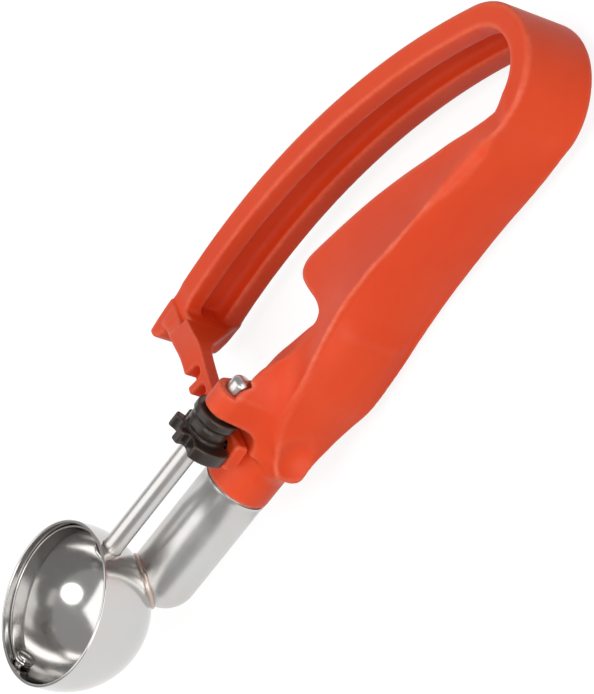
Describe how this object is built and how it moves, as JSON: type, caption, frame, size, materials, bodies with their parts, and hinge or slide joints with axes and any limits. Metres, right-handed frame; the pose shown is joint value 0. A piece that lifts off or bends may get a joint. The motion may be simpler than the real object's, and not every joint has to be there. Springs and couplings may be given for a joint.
{
  "type": "lever ice cream scoop",
  "caption": "Small ice cream scoop with a sprung squeeze handle whose curved rack turns a pinion and rod, sweeping a blade round the inside of the bowl.",
  "frame": {"origin": "centre of the bowl's half ball, on the axis of the ejector rod", "axes": "+X along the rod towards the handle, +Y towards the squeeze strap, +Z out of the bowl's mouth; the scoop lies on its side"},
  "size_m": [0.1954, 0.0695, 0.0377],
  "materials": {
    "grip_handle": "satin orange moulded plastic",
    "squeeze_strap": "satin orange moulded plastic",
    "shank_tube": "polished stainless steel tube",
    "braze_bead": "polished braze",
    "bowl": "polished pressed stainless steel",
    "ejector_rod": "polished stainless steel rod",
    "drive_gear": "very dark brown moulded plastic",
    "sweep_blade": "polished stainless steel strip",
    "pivot_stud": "polished stainless steel stud"
  },
  "bodies": {
    "handle": {"grip_handle": "grip_handle", "shank_tube": "shank_tube", "braze_bead": "braze_bead", "bowl": "bowl", "pivot_stud": "pivot_stud"},
    "strap": {"squeeze_strap": "squeeze_strap"},
    "ejector": {"ejector_rod": "ejector_rod", "drive_gear": "drive_gear", "sweep_blade": "sweep_blade"}
  },
  "joints": [
    {"name": "squeeze", "type": "hinge", "parent": "handle", "child": "strap", "pos_m": [0.16984, 0.00361, -0.0174], "axis": [0, 0, 1], "range_deg": [0, 9.5], "stiffness_Nm_per_rad": 8},
    {"name": "sweep", "type": "hinge", "parent": "handle", "child": "ejector", "pos_m": [0.06, 0, 0], "axis": [1, 0, 0], "range_deg": [-173, 0]}
  ],
  "couplings": [
    {"joint": "sweep", "follows": "squeeze", "ratio": -18.166}
  ]
}
